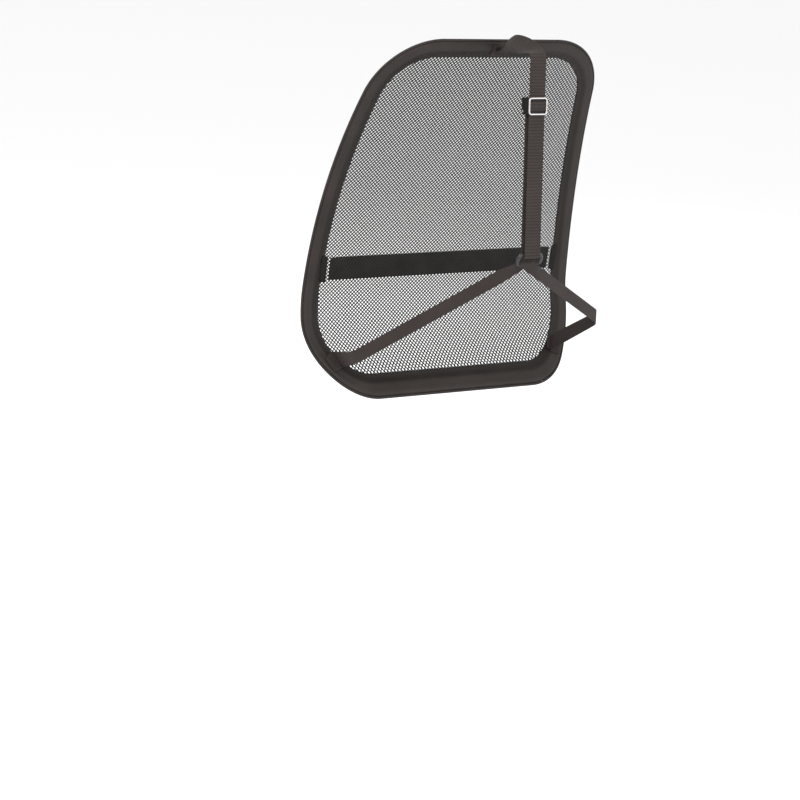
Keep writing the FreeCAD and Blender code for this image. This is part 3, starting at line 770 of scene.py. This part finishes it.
def make_slide():
    """The slide: a bright rounded rim, a black channel body behind it, the ribbed bar that the webbing
    is drawn over, and a pin whose heads show in the side walls."""
    rim_out = 7.1 * MM
    sections = []
    for (x, rise), way in rounded_loop(SLIDE_HALF - 1.15 * MM, 10.6 * MM, 3.2 * MM, 8):
        centre = on_strap(x, rim_out, SLIDE_UP + rise)
        sections.append((centre, ACROSS * way[0] + STRAP_UP * way[1], STRAP_OUT, (1, 1)))
    bar = []
    for index in range(16):
        angle = 2 * math.pi * index / 16
        bar.append((1.15 * MM * math.copysign(abs(math.cos(angle)) ** 0.7, math.cos(angle)),
                    1.05 * MM * math.copysign(abs(math.sin(angle)) ** 0.7, math.sin(angle))))
    rim = sweep("slide_rim", sections, bar, closed=True)
    rim.data.materials.append(bright_metal)
    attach(rim, "slide")
    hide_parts("slide_frame")

    inner, outer = SLIDE_HALF - 1.5 * MM, SLIDE_HALF
    front, back = 6.05 * MM, -10.45 * MM
    plate = -8.9 * MM
    channel = [(-outer, front), (-outer, back), (outer, back), (outer, front),
               (inner, front), (inner, plate), (-inner, plate), (-inner, front)]
    levels = np.linspace(-11.2 * MM, 11.2 * MM, 2)
    points = [on_strap(x, out, SLIDE_UP + rise) for rise in levels for x, out in channel]
    faces = [(i, (i + 1) % 8, 8 + (i + 1) % 8, 8 + i) for i in range(8)]
    for base, flip in ((0, False), (8, True)):
        for quad in ((0, 1, 6, 7), (1, 2, 5, 6), (2, 3, 4, 5)):
            corners = tuple(base + index for index in quad)
            faces.append(corners[::-1] if not flip else corners)
    body = make_object("slide_channel", points, faces, smooth=False)
    edges = body.modifiers.new("moulded edges", "BEVEL")
    edges.width = 0.7 * MM
    edges.segments = 3
    body.data.materials.append(black_plastic)
    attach(body, "slide")
    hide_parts("slide_body")

    radius = 1.6 * MM
    ribs = []
    for index in range(41):
        x = (index / 40 - 0.5) * 2 * (SLIDE_HALF - 1.5 * MM)
        swell = 1 + 0.06 * math.cos(index * math.pi)
        ribs.append((on_strap(x, 1.95 * MM, SLIDE_UP), STRAP_OUT, STRAP_UP, (swell, swell)))
    around = np.linspace(0, 2 * math.pi, 16, endpoint=False)
    turns = [(radius * math.cos(turn), radius * math.sin(turn)) for turn in around]
    cross = sweep("slide_cross_bar", ribs, turns)
    cross.data.materials.append(black_plastic)
    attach(cross, "slide")
    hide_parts("slide_bar")

    pin_out, pin_up = -LAYER - WEB_THICK / 2 - 2.1 * MM, SLIDE_UP - 7 * MM
    head = [(0.8, 0.35), (0.7, 1.3), (0.1, 1.9), (-0.05, 1.3)]
    shape = [(-SLIDE_HALF - x * MM, r) for x, r in head] + [(SLIDE_HALF + x * MM, r) for x, r in head[::-1]]
    lengths = [(on_strap(x, pin_out, pin_up), STRAP_OUT, STRAP_UP, (r, r)) for x, r in shape]
    circle = [(MM * math.cos(a), MM * math.sin(a)) for a in np.linspace(0, 2 * math.pi, 14, endpoint=False)]
    pin = sweep("slide_pin_headed", lengths, circle)
    pin.data.materials.append(bright_metal)
    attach(pin, "slide")
    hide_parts("slide_pin")

    rise = [(share * 6.4 * MM, 6.05 * MM + 1.6 * MM * math.cos(share * math.pi / 2) ** 0.8)
            for share in np.linspace(-0.98, 0.98, 24)]
    centres = np.array([on_strap(0, out, SLIDE_UP + up) for up, out in rise])
    hump = sweep("slide_webbing_hump", ribbon_sections(centres, np.tile(ACROSS, (len(rise), 1))),
                 ribbon_profile(24.4 * MM, 1.3 * MM))
    hump.data.materials.append(webbing)
    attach(hump, "slide")

    # Painted shade: two black strips inside the rim, above and below the webbing's hump, stand in for the
    # shade where the webbing dives under the bar. The object has no such parts.
    for name, sign in (("upper", 1), ("lower", -1)):
        shade_strip = []
        for x in np.linspace(-1, 1, 9):
            centre = on_strap(x * (SLIDE_HALF - 2 * MM), 6.1 * MM, SLIDE_UP + sign * 8.0 * MM)
            shade_strip.append((centre, STRAP_UP, STRAP_OUT, (1, 1)))
        edge = sweep(f"slide_{name}_lip", shade_strip, ribbon_profile(3.6 * MM, 1.0 * MM, 2))
        edge.data.materials.append(black_plastic)
        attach(edge, "slide")


# ---------------------------------------------------------------- side straps
SIDE_WIDTH, SIDE_THICK = 21.5 * MM, 1.4 * MM


def make_side_straps():
    """The lower strap: folded over the ring's lower bar, its two legs run to the chair's rear corners
    and on to the hoop, where sewn patches hold them."""
    low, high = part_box("side_strap_fold")
    tilt = math.radians(13.4)
    lower_bar = RING_AXIS + np.array([0, -math.sin(tilt), -math.cos(tilt)]) * 14 * MM
    slope = math.radians(36.6)
    down = np.array([0, -math.sin(slope), -math.cos(slope)])
    outward = np.array([0, math.cos(slope), -math.sin(slope)])
    radius = (high[1] - low[1]) / 2 - SIDE_THICK / 2
    half_fold = (high[0] - low[0]) / 2

    points, weave = [], []
    columns = np.linspace(-half_fold, half_fold, 25)
    angles = np.linspace(-8, 188, 25)
    for side in (1, -1):
        for angle in angles[::side]:
            turn = math.radians(angle)
            for x in columns:
                crest = math.exp(-((x + 4 * MM) / (2.2 * MM)) ** 2) * max(0, math.sin(turn)) ** 4
                reach = radius + side * SIDE_THICK / 2 + 2.0 * MM * crest
                direction = outward * math.cos(turn) - down * math.sin(turn)
                points.append(lower_bar + direction * reach + ACROSS * x)
                weave.append((x, turn * radius, 0))
    rows, width = 2 * len(angles), len(columns)
    faces = []
    for row in range(rows):
        for column in range(width - 1):
            here, there = row * width + column, (row + 1) % rows * width + column
            faces.append((here, here + 1, there + 1, there))
    for end in (0, width - 1):
        ring = [row * width + end for row in range(rows)]
        for row in range(len(angles) - 1):
            quad = (ring[row], ring[row + 1], ring[rows - 2 - row], ring[rows - 1 - row])
            faces.append(quad if end else quad[::-1])
    fold = make_object("side_strap_turn", points, faces, weave)
    fold.data.materials.append(side_web)
    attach(fold, "ring")
    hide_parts("side_strap_fold")

    corners = {
        "left": (1, -1, (190, 1, -179), (181, 0, -198)),
        "right": (-1, 1, (-187, 46, -127), (-180, 58, -143)),
    }
    for name, (sign, layer_side, upper, lower) in corners.items():
        upper, lower = np.array(upper) * MM, np.array(lower) * MM
        seat = lower_bar + outward * (radius * layer_side)
        end_upper = surface(sign * 186 * MM, -203 * MM, 5.2 * MM)
        end_lower = surface(sign * 176 * MM, -222 * MM, 5.2 * MM)
        starts = (seat + ACROSS * sign * half_fold, seat - ACROSS * sign * half_fold)
        points, weave, faces = [], [], []
        shares = np.concatenate([np.linspace(0, 0.93, 60), np.linspace(0.945, 1.0, 6)])
        corner_middle = (upper + lower) / 2
        bend_radius = 5 * MM

        def edges(share):
            """The strap's two edges: it lies flat on the chair back once it has left the ring."""
            turned = min(1, share / 0.17)
            turned = turned * turned * (3 - 2 * turned)
            span = (starts[0] - starts[1]) * (1 - turned) + (upper - lower) * turned
            centre = seat + (corner_middle - seat) * share
            return centre + span / 2, centre - span / 2

        path = [edges(share) for share in shares[:-4]]
        before = edges(shares[-5])
        after_share = bend_radius * 2.2 / np.linalg.norm((end_upper + end_lower) / 2 - corner_middle)
        after = (upper + (end_upper - upper) * after_share, lower + (end_lower - lower) * after_share)
        for t in np.linspace(0.1, 1, 10):
            path.append(tuple(
                before[edge] * (1 - t) ** 2 + (upper, lower)[edge] * 2 * t * (1 - t) + after[edge] * t**2
                for edge in (0, 1)
            ))
        for t in np.linspace(0, 1, 24)[1:]:
            path.append((after[0] + (end_upper - after[0]) * t, after[1] + (end_lower - after[1]) * t))
        tuck_upper = surface(sign * 196 * MM, -208 * MM, 5.1 * MM)
        tuck_lower = surface(sign * 187 * MM, -226 * MM, 5.1 * MM)
        for t in np.linspace(0, 1, 5)[1:]:
            path.append((end_upper + (tuck_upper - end_upper) * t, end_lower + (tuck_lower - end_lower) * t))
        sections = []
        for index, (first, second) in enumerate(path):
            ahead = path[min(index + 1, len(path) - 1)]
            behind = path[max(index - 1, 0)]
            along = unit(ahead[0] + ahead[1] - behind[0] - behind[1])
            span = first - second
            across = unit(span)
            out = unit(np.cross(across, along)) * (-sign)
            sections.append(((first + second) / 2, across, out, (np.linalg.norm(span) / SIDE_WIDTH, 1)))
        leg = sweep(f"{name}_side_webbing", sections, ribbon_profile(SIDE_WIDTH, SIDE_THICK))
        leg.data.materials.append(side_web)
        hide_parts(f"{name}_side_strap")
        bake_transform(leg)

        patch_rows = []
        centre = (end_upper + end_lower) / 2 + (tuck_upper - end_upper) * 0.6
        along = unit(tuck_upper - end_upper)
        across = unit(end_upper - end_lower)
        out = bow(centre[2])[1]
        corners_of = [(-11, -9.5), (7, -9.5), (7, 9.5), (-11, 9.5)]
        line = [centre + along * a * MM + across * b * MM + out * 1.7 * MM for a, b in corners_of]
        patch_sections = [
            (centre + along * a * MM + out * 1.0 * MM, across, out, (1, 1)) for a in np.linspace(-13, 9, 7)
        ]
        patch = sweep(f"{name}_anchor_patch", patch_sections, ribbon_profile(22.5 * MM, 1.2 * MM))
        patch.data.materials.append(side_web)
        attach(patch, "frame")
        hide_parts(f"{name}_strap_anchor")
        for index in range(4):
            patch_rows.append((line[index], line[(index + 1) % 4], out))
        patch_rows.append((line[0], line[2], out))
        patch_rows.append((line[1], line[3], out))
        sewn = stitches(f"{name}_anchor_stitches", patch_rows, thread, "frame", (2.2, 0.6))


# ---------------------------------------------------------------- carried-over metal
def finish_metal():
    for node, material in (("hoop_rod", steel), ("hoop_ferrule", bright_metal), ("strap_ring", dark_metal)):
        slots = frame["nodes"][node].material_slots
        for index in range(len(slots)):
            slots[index].material = material


# ---------------------------------------------------------------- floor and light
def make_stage():
    half, level = 40, -0.95
    corners = [(-half, -half, level), (half, -half, level), (half, half, level), (-half, half, level)]
    floor = make_object("floor", corners, [(0, 1, 2, 3)], smooth=False)
    pale = Nodes("pale_floor", (0.93, 0.93, 0.93), 0.9)
    floor.data.materials.append(pale.material)
    world = bpy.data.worlds.new("studio")
    world.use_nodes = True
    world.node_tree.nodes["Background"].inputs[0].default_value = (1, 1, 1, 1)
    world.node_tree.nodes["Background"].inputs[1].default_value = 1.0
    bpy.context.scene.world = world
    lamps = (
        ("key", (1.9, 1.6, 1.9), 2.2, 70),
        ("fill", (-1.8, 2.4, 0.7), 2.6, 30),
        ("rim", (-0.6, -2.4, 1.5), 2.0, 35),
    )
    for name, place, size, power in lamps:
        data = bpy.data.lights.new(name, "AREA")
        data.size = size
        data.energy = power
        lamp = bpy.data.objects.new(name, data)
        lamp.location = place
        lamp.rotation_euler = (-Vector(place)).to_track_quat("-Z", "Y").to_euler()
        bpy.context.scene.collection.objects.link(lamp)
    bpy.context.scene.view_settings.view_transform = "Standard"


make_camera()
make_binding()
make_net()
make_band()
make_long_strap()
make_return_layer()
make_top_anchor()
make_slide()
make_side_straps()
finish_metal()
make_stage()
